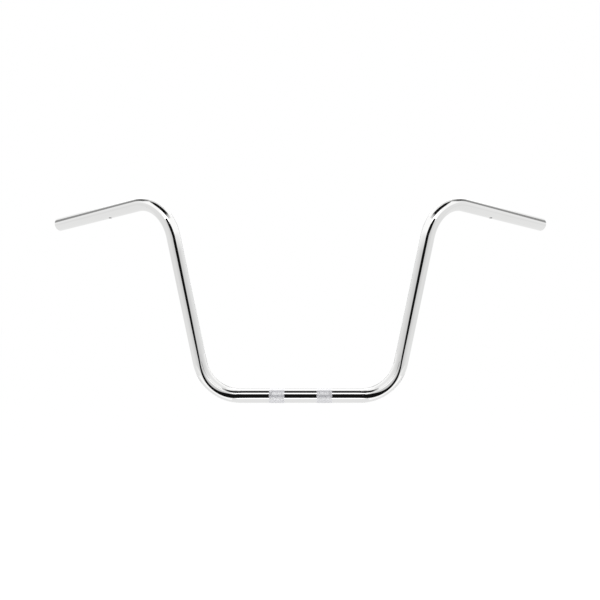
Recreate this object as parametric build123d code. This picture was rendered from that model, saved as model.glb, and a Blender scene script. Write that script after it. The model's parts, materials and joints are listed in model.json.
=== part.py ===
"""Ape hanger handlebar: one bent steel tube with two raised bands where it is clamped.

Millimetres. The origin is the middle of the base, +X runs along the base to the right grip,
+Y points back towards the rider and +Z points up the legs.
"""
import os

from build123d import *

# Tube stock
tube_diameter = 25.4
wall = 3.0
bend_radius = 76.2  # at the centreline, the same for all four bends

# Corners of the centreline, where its straight runs would meet
base_width = 340.0  # between the two lower corners
top_width = 492.0  # between the two upper corners
rise = 360.0  # from the base up to the upper corners
end_width = 977.0  # between the middles of the two grip ends
pullback = 175.0  # from the upper corners back to the grip ends
droop = 33.0  # from the upper corners down to the grip ends

# Knurled bands where the risers clamp the base, plain here at the height of the knurl's crests
band_spacing = 86.0  # middle to middle
band_length = 28.0
band_raise = 0.2  # how far rolling the knurl lifts its crests above the tube

# Holes under the grips, for the pegs or the leads of the switch housings
switch_hole_diameter = 6.0
switch_hole_from_end = 153.5
switch_hole_turn = 8.0  # degrees forward of straight down

# Deburred ends
end_chamfer = 0.8
bore_chamfer = 0.5

tube_radius = tube_diameter / 2
bore_radius = tube_radius - wall


def right_corners():
    """Corners of the right half of the centreline, from the base outwards."""
    base_corner = Vector(base_width / 2, 0, 0)
    top_corner = Vector(top_width / 2, 0, rise)
    grip_end = Vector(end_width / 2, pullback, rise - droop)
    return base_corner, top_corner, grip_end


def left_corners():
    """The same corners on the left, from the grip end inwards."""
    return [Vector(-corner.X, corner.Y, corner.Z) for corner in reversed(right_corners())]


def bent_tube():
    """The tube along its five straight runs and four bends, with both ends deburred."""
    centreline = FilletPolyline(*left_corners(), *right_corners(), radius=bend_radius)
    start = Plane(origin=centreline @ 0, z_dir=centreline % 0)
    section = Circle(tube_radius) - Circle(bore_radius)
    tube = sweep(start * section, path=centreline)
    ends = tube.faces().filter_by(GeomType.PLANE)
    tube = chamfer([end.outer_wire().edge() for end in ends], end_chamfer)
    ends = tube.faces().filter_by(GeomType.PLANE)
    return chamfer([end.inner_wires()[0].edge() for end in ends], bore_chamfer)


def clamp_bands():
    """The raised bands of the base, as rings let into the tube's wall."""
    ring = Circle(tube_radius + band_raise) - Circle(tube_radius - wall / 2)
    middles = [Plane.YZ.offset(side * band_spacing / 2) for side in (-1, 1)]
    return [extrude(middle * ring, band_length / 2, both=True) for middle in middles]


def right_switch_hole():
    """Drill for the hole under the right grip, from the tube's middle out through its wall."""
    _, top_corner, grip_end = right_corners()
    grip_axis = Axis(grip_end, grip_end - top_corner)
    outwards = grip_axis.direction
    straight_down = Vector(0, 0, -1)
    underside = straight_down - outwards * straight_down.dot(outwards)
    drill_axis = underside.rotate(grip_axis, -switch_hole_turn)
    start = Plane(origin=grip_end - outwards * switch_hole_from_end, z_dir=drill_axis)
    return extrude(start * Circle(switch_hole_diameter / 2), tube_diameter)


switch_hole = right_switch_hole()
switch_holes = [switch_hole, mirror(switch_hole, about=Plane.YZ)]
handlebar = bent_tube() + clamp_bands() - switch_holes

os.makedirs("parts", exist_ok=True)
export_step(handlebar, "parts/handlebar.step")
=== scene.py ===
"""Chromed ape hanger handlebar in a white studio. Metres, in the part's own frame."""
import json
import math

import bmesh
import bpy
from mathutils import Matrix, Vector


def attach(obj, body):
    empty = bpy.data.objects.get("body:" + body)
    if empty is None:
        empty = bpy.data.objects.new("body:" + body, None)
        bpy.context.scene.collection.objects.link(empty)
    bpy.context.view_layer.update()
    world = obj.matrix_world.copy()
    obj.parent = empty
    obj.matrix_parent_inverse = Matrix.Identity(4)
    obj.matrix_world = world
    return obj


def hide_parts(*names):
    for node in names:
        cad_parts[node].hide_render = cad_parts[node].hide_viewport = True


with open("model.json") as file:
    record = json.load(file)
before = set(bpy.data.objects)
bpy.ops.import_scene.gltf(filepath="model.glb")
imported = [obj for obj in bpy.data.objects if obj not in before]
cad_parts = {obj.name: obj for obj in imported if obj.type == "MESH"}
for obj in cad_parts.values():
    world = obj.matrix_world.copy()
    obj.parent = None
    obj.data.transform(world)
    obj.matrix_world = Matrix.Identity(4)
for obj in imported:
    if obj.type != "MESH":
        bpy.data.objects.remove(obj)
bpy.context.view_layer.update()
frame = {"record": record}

scene = bpy.context.scene
mounts = {mount["name"]: mount for mount in frame["record"]["mounts"]}
slot = frame["record"]["materials"][0]


def radius_of(mount):
    """The radius that a round mount states, in metres."""
    return mounts[mount]["dims"]["r_mm"] / 1000


# Centreline of the right half: where its straight runs would meet, and the radius of its bends
base_corner = Vector((0.170, 0, 0))
top_corner = Vector((0.246, 0, 0.360))
grip_end = Vector((0.4885, 0.175, 0.327))
bend_radius = 0.0762

# Sections
tube_radius = radius_of("right_grip_seat")
bore_radius = radius_of("right_bar_end")
hole_radius = radius_of("right_switch_hole")
end_chamfer = 0.0008
bore_chamfer = 0.0005

# Knurled bands
band_radius = radius_of("riser_clamp")
band_length = 0.028
band_end = mounts["riser_clamp"]["dims"]["length_mm"] / 2000  # from the base's middle
knurl_depth = 0.0002
knurl_rim = 0.0008  # plain rim at each end of a band
knurl_runout = 0.0004  # where the grooves rise to the rim
land_share = 0.32  # of the knurl's pitch, left at full height

# Mesh density
tube_sides = 72  # also the number of grooves round a band
pitch = math.tau / tube_sides
bend_step = math.radians(2)
support = 0.002  # distance of the ring that keeps a straight run straight beside a bend
hole_ring_step = 0.0007
hole_ring_reach = 1.3  # in radii of the hole
hole_sides = 48
merge_distance = 1e-6
sharp_angle = math.radians(25)

# Finishes, by their place in the mesh's list of materials
CHROME, KNURL, BORE = range(3)


# The tube's mesh

class Station:
    """A place on the centreline: its point, the tube's direction and where its rings start."""

    def __init__(self, point, along, start):
        self.point = point
        self.along = along
        self.start = start

    def ahead(self, distance):
        """The station this far on, if the tube runs straight."""
        return Station(self.point + self.along * distance, self.along, self.start)

    def at(self, turn, radius):
        """The point at this turn round the tube and this far from its middle."""
        side = self.along.cross(self.start)
        return self.point + (self.start * math.cos(turn) + side * math.sin(turn)) * radius


def bend(station, corner, target):
    """Stations after this one, round the bend that turns the tube at a corner towards a target."""
    out = (target - corner).normalized()
    turn = station.along.angle(out)
    axis = station.along.cross(out).normalized()
    centre = station.point + axis.cross(station.along) * bend_radius
    steps = math.ceil(turn / bend_step)
    stations = []
    for step in range(1, steps + 1):
        rotation = Matrix.Rotation(turn * step / steps, 3, axis)
        point = centre + rotation @ (station.point - centre)
        stations.append(Station(point, rotation @ station.along, rotation @ station.start))
    return stations


def setback(before, corner, after):
    """How far before its corner a bend starts."""
    turn = (corner - before).angle(after - corner)
    return bend_radius * math.tan(turn / 2)


def right_centreline():
    """The base's middle and end, the lower bend, the leg's end and the upper bend, as stations."""
    middle = Station(Vector((0, 0, 0)), Vector((1, 0, 0)), Vector((0, 0, 1)))
    base_run = base_corner.x - setback(middle.point, base_corner, top_corner)
    base_stop = middle.ahead(base_run)
    lower = bend(base_stop, base_corner, top_corner)
    leg_run = (top_corner - lower[-1].point).length - setback(base_corner, top_corner, grip_end)
    leg_stop = lower[-1].ahead(leg_run)
    upper = bend(leg_stop, top_corner, grip_end)
    return middle, base_stop, lower, leg_stop, upper


def circle(station, radius):
    """A plain ring of points."""
    return [station.at(side * pitch, radius) for side in range(tube_sides)]


def knurled(station, depth):
    """A ring with three points for each groove: the land's two edges and the groove's root."""
    ring = []
    for side in range(tube_sides):
        land = side * pitch
        ring.append(station.at(land - pitch * land_share / 2, band_radius))
        ring.append(station.at(land + pitch * land_share / 2, band_radius))
        ring.append(station.at(land + pitch / 2, band_radius - depth))
    return ring


def band_rings(middle):
    """Rings of the right knurled band, from its inner to its outer edge."""
    floor_start = knurl_rim + knurl_runout
    steps = [
        (0, 0), (knurl_rim, 0), (floor_start, knurl_depth),
        (band_length - floor_start, knurl_depth), (band_length - knurl_rim, 0), (band_length, 0),
    ]
    inner, outer = middle.ahead(band_end - band_length), middle.ahead(band_end)
    rings = [(circle(inner, tube_radius), KNURL)]
    rings += [(knurled(inner.ahead(distance), depth), KNURL) for distance, depth in steps]
    rings.append((circle(outer, tube_radius), CHROME))
    return rings


def hole_distances(grip):
    """Distances along the grip run of close rings round the switch hole."""
    hole = (Vector(mounts["right_switch_hole"]["pos_m"]) - grip.point).dot(grip.along)
    reach = math.ceil(hole_ring_reach * hole_radius / hole_ring_step)
    return [hole + step * hole_ring_step for step in range(-reach, reach + 1)]


def right_half():
    """Rings out along the right half's skin and back along its bore, each with the finish after it."""
    middle, base_stop, lower, leg_stop, upper = right_centreline()
    grip = upper[-1]
    grip_run = (grip_end - grip.point).length

    base_end = [base_stop.ahead(-support), base_stop]
    leg = [lower[-1].ahead(support), leg_stop.ahead(-support), leg_stop]
    grip_start = [grip.ahead(distance) for distance in [support, *hole_distances(grip)]]
    bends_and_runs = base_end + lower + leg + upper + grip_start
    tube_end = [
        (grip_run - end_chamfer, tube_radius, CHROME),
        (grip_run, tube_radius - end_chamfer, CHROME),
        (grip_run, bore_radius + bore_chamfer, CHROME),
        (grip_run - bore_chamfer, bore_radius, BORE),
    ]

    rings = [(circle(middle, tube_radius), CHROME), *band_rings(middle)]
    rings += [(circle(station, tube_radius), CHROME) for station in bends_and_runs]
    rings += [(circle(grip.ahead(distance), radius), finish) for distance, radius, finish in tube_end]
    rings += [(circle(station, bore_radius), BORE) for station in reversed(bends_and_runs)]
    rings.append((circle(middle, bore_radius), BORE))
    return rings


def strip(near, far):
    """Faces between two rings that have as many points, or three times as many, as each other."""
    near_count, far_count = len(near), len(far)
    if near_count > far_count:
        return [face[::-1] for face in strip(far, near)]
    faces = []
    for side in range(near_count):
        after = (side + 1) % near_count
        if near_count == far_count:
            faces.append((near[side], near[after], far[after], far[side]))
        else:
            land, root = 3 * side, 3 * side + 2
            faces.append((near[side], far[land + 1], far[land]))
            faces.append((near[side], near[after], far[3 * after], far[root], far[land + 1]))
    return faces


def add_left_half(shape):
    """Mirrors the right half and turns all faces outwards."""
    everything = shape.verts[:] + shape.edges[:] + shape.faces[:]
    bmesh.ops.mirror(shape, geom=everything, matrix=Matrix.Identity(4), merge_dist=merge_distance, axis="X")
    bmesh.ops.recalc_face_normals(shape, faces=shape.faces)


def make_tube():
    """The whole tube as one closed mesh, before its holes are drilled."""
    shape = bmesh.new()
    rings = [([shape.verts.new(point) for point in ring], finish) for ring, finish in right_half()]
    for (near, finish), (far, _) in zip(rings, rings[1:]):
        grooved = len(near) == len(far) > tube_sides
        for side, corners in enumerate(strip(near, far)):
            is_land = grooved and side % 3 == 0
            shape.faces.new(corners).material_index = CHROME if is_land else finish
    add_left_half(shape)
    return mesh_object("handlebar_tube", shape)


def make_drills():
    """The two drills for the switch holes, as one mesh."""
    hole = mounts["right_switch_hole"]
    middle, axis = Vector(hole["pos_m"]), Vector(hole["axis"])
    place = Matrix.Translation(middle) @ axis.to_track_quat("Z", "Y").to_matrix().to_4x4()
    shape = bmesh.new()
    bmesh.ops.create_cone(
        shape, cap_ends=True, segments=hole_sides, depth=tube_radius,
        radius1=hole_radius, radius2=hole_radius, matrix=place,
    )
    add_left_half(shape)
    for face in shape.faces:
        face.material_index = BORE
    return mesh_object("drills", shape)


def add_object(name, data):
    """Links a new object that holds this mesh, lamp or lens."""
    thing = bpy.data.objects.new(name, data)
    scene.collection.objects.link(thing)
    return thing


def mesh_object(name, shape):
    """Links a new object with this shape and frees the shape."""
    mesh = bpy.data.meshes.new(name)
    shape.to_mesh(mesh)
    shape.free()
    return add_object(name, mesh)


def make_handlebar(finishes):
    """The drilled tube, shaded smooth up to its real edges."""
    tube, drills = make_tube(), make_drills()
    for thing in (tube, drills):
        for finish in finishes:
            thing.data.materials.append(finish)
    cut = tube.modifiers.new("switch_holes", "BOOLEAN")
    cut.object = drills
    cut.operation = "DIFFERENCE"
    cut.solver = "EXACT"
    drilled = tube.evaluated_get(bpy.context.evaluated_depsgraph_get())
    mesh = bpy.data.meshes.new_from_object(drilled)
    tube.modifiers.clear()
    tube.data = mesh
    bpy.data.objects.remove(drills)
    mesh.shade_smooth()
    mesh.set_sharp_from_angle(angle=sharp_angle)
    return tube


# Finishes

def new_material(name):
    """A material, its nodes and its links."""
    material = bpy.data.materials.new(name)
    material.use_nodes = True
    return material, material.node_tree.nodes, material.node_tree.links


def noise(nodes, links, scale, detail):
    """Fine variation that keeps its place on the tube."""
    place = nodes.new("ShaderNodeTexCoord")
    texture = nodes.new("ShaderNodeTexNoise")
    texture.inputs["Scale"].default_value = scale
    texture.inputs["Detail"].default_value = detail
    links.new(place.outputs["Object"], texture.inputs["Vector"])
    return texture.outputs["Fac"]


def vary(nodes, links, source, target, low, high):
    """Drives a number of the shader from low to high over most of the noise's range."""
    noise_low, noise_high = 0.3, 0.7
    spread = nodes.new("ShaderNodeMapRange")
    spread.inputs["From Min"].default_value = noise_low
    spread.inputs["From Max"].default_value = noise_high
    spread.inputs["To Min"].default_value = low
    spread.inputs["To Max"].default_value = high
    links.new(source, spread.inputs["Value"])
    links.new(spread.outputs["Result"], target)


def tint(nodes, links, source, target, first, second):
    """Drives a colour of the shader between two close shades."""
    ramp = nodes.new("ShaderNodeValToRGB")
    ramp.color_ramp.elements[0].position = 0.35
    ramp.color_ramp.elements[0].color = (*first, 1)
    ramp.color_ramp.elements[1].position = 0.65
    ramp.color_ramp.elements[1].color = (*second, 1)
    links.new(source, ramp.inputs["Fac"])
    links.new(ramp.outputs["Color"], target)


def chrome_finish():
    """Bright plate: a mirror with a trace of haze."""
    material, nodes, links = new_material("chrome")
    shader = nodes["Principled BSDF"]
    dimming = 0.012  # of the patches
    plain = slot["base_color"]
    dimmer = [value - dimming for value in plain]
    patches = noise(nodes, links, scale=14, detail=2)
    haze = noise(nodes, links, scale=60, detail=4)
    shader.inputs["Metallic"].default_value = 1
    tint(nodes, links, patches, shader.inputs["Base Color"], plain, dimmer)
    vary(nodes, links, haze, shader.inputs["Roughness"], low=0.015, high=0.04)
    return material


def knurl_finish():
    """Grooves of the plated knurl: duller and bluer than the polished tube and the lands between them."""
    material, nodes, links = new_material("chrome_knurl")
    shader = nodes["Principled BSDF"]
    grain = noise(nodes, links, scale=500, detail=3)
    shader.inputs["Metallic"].default_value = 0.3
    tint(nodes, links, grain, shader.inputs["Base Color"], (0.75, 0.75, 0.785), (0.81, 0.81, 0.84))
    vary(nodes, links, grain, shader.inputs["Roughness"], low=0.4, high=0.5)
    return material


def bore_finish():
    """Bare drawn steel inside the tube, where the plate doesn't reach."""
    material, nodes, links = new_material("bare_steel")
    shader = nodes["Principled BSDF"]
    grain = noise(nodes, links, scale=220, detail=5)
    shader.inputs["Metallic"].default_value = 1
    tint(nodes, links, grain, shader.inputs["Base Color"], (0.30, 0.29, 0.28), (0.42, 0.41, 0.40))
    vary(nodes, links, grain, shader.inputs["Roughness"], low=0.35, high=0.6)
    return material


# Studio

base_middle = Vector((0, 0, 0))
sides = ((-1, "left"), (1, "right"))
lamp_radiance = 1.3

floor_height = -1.05
floor_size = 30
floor_albedo = 0.5

# Level view from in front, as far off as the thinning of the grips shows
camera_place = Vector((-0.0009, -1.5, 0.1741))
sensor_width = 36  # millimetres
focal_length = 49.53  # millimetres

# Shades of the panels that show only in the chrome, which mirrors about four fifths of them
black = 0.007
soft_edge = 0.6
floor_card_shade = 0.97
white = 1.22

# Places of those panels
strip_distance = 0.1  # from the plane of the legs
base_lid_height = 0.06
bend_lid_height = 0.6
back_panel_distance = 2.0
side_panel_distance = 2.5
far_wall_distance = 4
low_card_height = -0.7
floor_card_height = -0.8


def towards(azimuth, elevation, distance):
    """A point seen from the middle of the base: azimuth 0 is towards the camera, 90 to the right."""
    turn, lift = math.radians(azimuth), math.radians(elevation)
    level = Vector((math.sin(turn), -math.cos(turn), 0))
    return (level * math.cos(lift) + Vector((0, 0, math.sin(lift)))) * distance


def panel_finish():
    """Shows each point of a panel in its own shade, whatever the light."""
    material = bpy.data.materials.get("panel")
    if material:
        return material
    material, nodes, links = new_material("panel")
    nodes.clear()
    shade = nodes.new("ShaderNodeVertexColor")
    shade.layer_name = "shade"
    glow = nodes.new("ShaderNodeEmission")
    output = nodes.new("ShaderNodeOutputMaterial")
    links.new(shade.outputs["Color"], glow.inputs["Color"])
    links.new(glow.outputs["Emission"], output.inputs["Surface"])
    return material


def panel(name, rows):
    """A panel that only shows in the chrome: rows of points, each with its shade."""
    shape = bmesh.new()
    shade = shape.verts.layers.float_color.new("shade")
    grid = []
    for row in rows:
        points = []
        for place, value in row:
            point = shape.verts.new(place)
            point[shade] = (value, value, value, 1)
            points.append(point)
        grid.append(points)
    for low, high in zip(grid, grid[1:]):
        for corner in range(len(low) - 1):
            shape.faces.new((low[corner], low[corner + 1], high[corner + 1], high[corner]))
    thing = mesh_object(name, shape)
    thing.data.materials.append(panel_finish())
    thing.visible_camera = False
    thing.visible_diffuse = False
    thing.visible_transmission = False
    thing.visible_shadow = False


def make_base_lid():
    """A narrow dark lid above the base, with tapered ends."""
    right_end = [  # across, front edge, back edge, shade
        (0.1110, -0.050, -0.003, 0.02),
        (0.1135, -0.053, -0.011, 0.02),
        (0.1155, -0.068, -0.023, 0.02),
        (0.1170, -0.073, -0.030, 0.02),
        (0.1195, -0.071, -0.035, 0.85),
    ]
    left_end = [(-across, *rest) for across, *rest in reversed(right_end)]
    panel("base_lid", [
        [(Vector((across, edge, base_lid_height)), shade) for edge in (front, back)]
        for across, front, back, shade in left_end + right_end
    ])


def make_back_panels():
    """A dark strip behind the base and a dark panel far behind the bar."""
    panel("back_strip", [
        [(Vector((across, strip_distance, height)), black) for across in (-0.25, 0.25)]
        for height in (-0.014, 0.014)
    ])
    panel("back_panel", [
        [(towards(azimuth, elevation, back_panel_distance), black) for azimuth in (165, 180, 195)]
        for elevation in (-15, 25)
    ])


def make_front_strip(name, side):
    """A dark strip in front of one half of the bar, from the base's middle to the upper bend."""
    base_inner, base_outer = -0.0715, 0.0545
    leg_inner, leg_outer = -0.0175, 0.0135
    base_overrun = 0.009  # past the end of the base's straight run
    swell_power = 0.85  # below 1, so that the swelling comes sooner
    widest_fade = 0.02
    middle, base_stop, lower, leg_stop, _ = right_centreline()
    rows = []

    def place(across, height):
        return Vector((side * across, -strip_distance, height))

    def add(station, inner, outer, fade):
        """Adds a row across the strip, with its edges' offsets outwards from the centreline."""
        outward = Vector((station.along.z, 0, -station.along.x))
        points = [station.point + outward * offset for offset in (inner - fade, inner, outer)]
        shaded = zip(points, (soft_edge, black, black))
        rows.append([(place(point.x, point.z), shade) for point, shade in shaded])

    def swollen(step, delay, at_base, at_leg, bulge):
        """Offset of an edge at a step of the lower bend, where it swells after a delay of some steps."""
        share = (max(0, step - delay) / (len(lower) - delay)) ** swell_power
        base_share = math.cos(math.pi / 2 * share) ** 2
        return at_leg + (at_base - at_leg) * base_share + bulge * math.sin(math.pi * share) ** 2

    add(middle, base_inner, base_outer, fade=0)
    add(base_stop.ahead(base_overrun), base_inner, base_outer, fade=0)
    for step, station in enumerate(lower, 1):
        inner = swollen(step, delay=4, at_base=base_inner, at_leg=leg_inner, bulge=0.080)
        outer = swollen(step, delay=1, at_base=base_outer, at_leg=leg_outer, bulge=0.126)
        add(station, inner, outer, fade=widest_fade * step / len(lower))
    add(lower[-1].ahead(0.05), inner=-0.032, outer=0.0165, fade=0.016)
    add(leg_stop.ahead(-0.13), inner=-0.045, outer=0.0140, fade=0.014)
    add(leg_stop.ahead(-0.03), inner=-0.060, outer=0.0110, fade=0.014)
    upper_bend = (  # inner and outer points, across and up
        ((0.170, 0.313), (0.243, 0.296)),
        ((0.200, 0.351), (0.271, 0.324)),
        ((0.235, 0.390), (0.290, 0.358)),
        ((0.247, 0.399), (0.294, 0.367)),
    )
    for inner, outer in upper_bend:
        rows.append([(place(*inner), black), (place(*inner), black), (place(*outer), black)])
    panel(name, rows)


def make_bend_lid(name, side):
    """A dark lid high above one upper bend, paler at its ends."""
    rows = (  # shade, then front and back points, across and back
        (0.95, (0.150, -0.300), (0.020, -0.020)),
        (soft_edge, (0.200, -0.260), (0.075, -0.010)),
        (black, (0.242, -0.225), (0.113, 0)),
        (black, (0.328, -0.182), (0.203, -0.010)),
        (black, (0.380, -0.153), (0.251, -0.005)),
        (black, (0.423, -0.122), (0.285, 0.012)),
        (0.10, (0.424, -0.034), (0.380, 0.020)),
    )
    panel(name, [
        [(Vector((side * across, back, bend_lid_height)), shade) for across, back in ends]
        for shade, *ends in rows
    ])


def make_side_panel(name, side):
    """A grey panel far beside the bar, which draws the thin line along one grip and over its bend."""
    rows = (  # shade, then the azimuth and elevation of two points
        (0.40, (84, 60), (102, 66)),
        (0.10, (84, 41), (112, 50)),
        (0.34, (97, 31), (120, 40)),
        (0.34, (98, 17), (121, 26)),
    )
    panel(name, [
        [(towards(side * azimuth, elevation, side_panel_distance), shade) for azimuth, elevation in ends]
        for shade, *ends in rows
    ])


def make_dark_panels():
    """What the chrome mirrors dark: above, behind, in front of and beside the bar."""
    make_base_lid()
    make_back_panels()
    for side, name in sides:
        make_front_strip("front_strip_" + name, side)
        make_bend_lid("bend_lid_" + name, side)
        make_side_panel("side_panel_" + name, side)


def make_far_wall():
    """A pale wall all round the set, greyest straight in front of the bar."""
    greyest, palest = 0.74, 0.94
    front_reach = 80  # degrees to each side of the camera

    def wall(azimuth, at_side):
        """Shade low on the wall, which pales from the camera to the sides."""
        if abs(azimuth) > front_reach:
            return at_side
        wave = math.cos(math.pi * azimuth / front_reach)
        return (palest + greyest) / 2 - (palest - greyest) / 2 * wave

    def above(azimuth, at_side):
        """Shade high on the wall, which is white in front."""
        return at_side if abs(azimuth) > front_reach else white

    rows = (  # elevation, what gives its shade, and its shade at the sides and behind
        (-14, wall, 0.96),
        (-4, wall, 0.91),
        (12, wall, 1.01),
        (20, wall, 1.02),
        (27, above, 1),
        (58, above, 1),
    )
    panel("far_wall", [
        [
            (towards(azimuth, elevation, far_wall_distance), shade(azimuth, at_side))
            for azimuth in range(-180, 181, 15)
        ]
        for elevation, shade, at_side in rows
    ])


def make_divider():
    """A pale sheet in the camera's plane that hides each half's panels from the other half."""
    bottom, notch_top = -0.3, 0.085  # the notch leaves room for the base
    columns = (  # distance in front of the legs, foot, and shades low down, halfway up and at the top
        (-0.800, notch_top, (white, white, white)),
        (-0.150, notch_top, (1.10, white, white)),
        (-0.060, notch_top, (1.00, 1.10, white)),
        (0, notch_top, (0.92, 1.00, white)),
        (0.105, notch_top, (0.80, 1.02, white)),
        (0.110, bottom, (0.80, 1.02, white)),
        (0.240, bottom, (0.75, white, white)),
        (1.100, bottom, (0.70, white, white)),
    )
    levels = ((bottom, 0), (0.105, 0), (0.16, 1), (0.36, 1), (0.40, 2), (1.1, 2))  # height, which shade
    panel("divider", [
        [
            (Vector((camera_place.x, -front, max(height, foot))), shades[level])
            for front, foot, shades in columns
        ]
        for height, level in levels
    ])


def make_inner_card(name, side):
    """A card inside one leg, from pale behind the leg to grey in front of it, with a white top edge."""
    columns = (  # across, distance in front of the legs, shade
        (0.130, -0.200, 1.05),
        (0.125, 0, 0.92),
        (0.130, 0.055, 0.80),
        (0.135, 0.120, 0.77),
        (0.155, 0.400, 0.74),
    )
    bottom, shoulder, top = 0.085, 0.29, 0.345
    panel(name, [
        [
            (Vector((side * across, -front, height)), white if height == top else shade)
            for across, front, shade in columns
        ]
        for height in (bottom, shoulder, top)
    ])


def make_pale_panels():
    """What the chrome mirrors pale: round the set, between the legs and below the bar."""
    make_far_wall()
    make_divider()
    panel("floor_card", [
        [(Vector((across, back, floor_card_height)), floor_card_shade) for across in (-4, 4)]
        for back in (-0.9, 4)
    ])
    for side, name in sides:
        make_inner_card("inner_card_" + name, side)
        panel("low_card_" + name, [
            [(Vector((side * across, back, low_card_height)), white) for across in (0.3, 1.5)]
            for back in (-0.8, -0.05)
        ])


def softbox(name, azimuth, elevation, distance, width, height):
    """A soft rectangular lamp that faces the base's middle."""
    lamp = bpy.data.lights.new(name, "AREA")
    lamp.shape = "RECTANGLE"
    lamp.size = width
    lamp.size_y = height
    lamp.energy = lamp_radiance * math.pi * width * height
    thing = add_object(name, lamp)
    thing.location = towards(azimuth, elevation, distance)
    thing.rotation_euler = (thing.location - base_middle).to_track_quat("Z", "Y").to_euler()
    thing.visible_camera = False


def make_lights():
    """White surroundings, two large softboxes and a small one in front of the base."""
    world = bpy.data.worlds.new("white_room")
    scene.world = world
    world.use_nodes = True
    background = world.node_tree.nodes["Background"]
    background.inputs["Color"].default_value = (1, 1, 1, 1)
    background.inputs["Strength"].default_value = 1
    softbox("front_softbox", azimuth=0, elevation=42, distance=2.6, width=3.0, height=1.05)
    softbox("back_softbox", azimuth=180, elevation=45, distance=2.8, width=3.0, height=1.6)
    softbox("low_softbox", azimuth=0, elevation=-32, distance=1.3, width=0.7, height=0.45)


def seen_directly(nodes, links):
    """One for what the camera sees, mirrored or through glass too, and zero for what lights matt things."""
    path = nodes.new("ShaderNodeLightPath")
    seen = path.outputs["Is Camera Ray"]
    for kind in ("Is Glossy Ray", "Is Transmission Ray"):
        either = nodes.new("ShaderNodeMath")
        either.operation = "MAXIMUM"
        links.new(seen, either.inputs[0])
        links.new(path.outputs[kind], either.inputs[1])
        seen = either.outputs["Value"]
    return seen


def floor_finish():
    """Matt, and lifted to white where it is seen, with its shadows kept."""
    material, nodes, links = new_material("floor")
    nodes.clear()
    matt = nodes.new("ShaderNodeBsdfDiffuse")
    matt.inputs["Color"].default_value = (floor_albedo, floor_albedo, floor_albedo, 1)
    lift = nodes.new("ShaderNodeMath")
    lift.operation = "MULTIPLY"
    lift.inputs[1].default_value = 1 - floor_albedo
    glow = nodes.new("ShaderNodeEmission")
    both = nodes.new("ShaderNodeAddShader")
    output = nodes.new("ShaderNodeOutputMaterial")
    links.new(seen_directly(nodes, links), lift.inputs[0])
    links.new(lift.outputs["Value"], glow.inputs["Strength"])
    links.new(matt.outputs["BSDF"], both.inputs[0])
    links.new(glow.outputs["Emission"], both.inputs[1])
    links.new(both.outputs["Shader"], output.inputs["Surface"])
    return material


def make_floor():
    """A pale floor well below the bar."""
    shape = bmesh.new()
    bmesh.ops.create_grid(shape, x_segments=1, y_segments=1, size=floor_size)
    floor = mesh_object("floor", shape)
    floor.location.z = floor_height
    floor.data.materials.append(floor_finish())


def make_camera():
    """The camera, level and square to the legs."""
    lens = bpy.data.cameras.new("camera")
    lens.sensor_width = sensor_width
    lens.lens = focal_length
    camera = add_object("camera", lens)
    camera.location = camera_place
    camera.rotation_euler = (math.radians(90), 0, 0)
    scene.camera = camera


handlebar = make_handlebar([chrome_finish(), knurl_finish(), bore_finish()])
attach(handlebar, "root")
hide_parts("handlebar")

make_dark_panels()
make_pale_panels()
make_lights()
make_floor()
make_camera()
scene.view_settings.view_transform = "Standard"
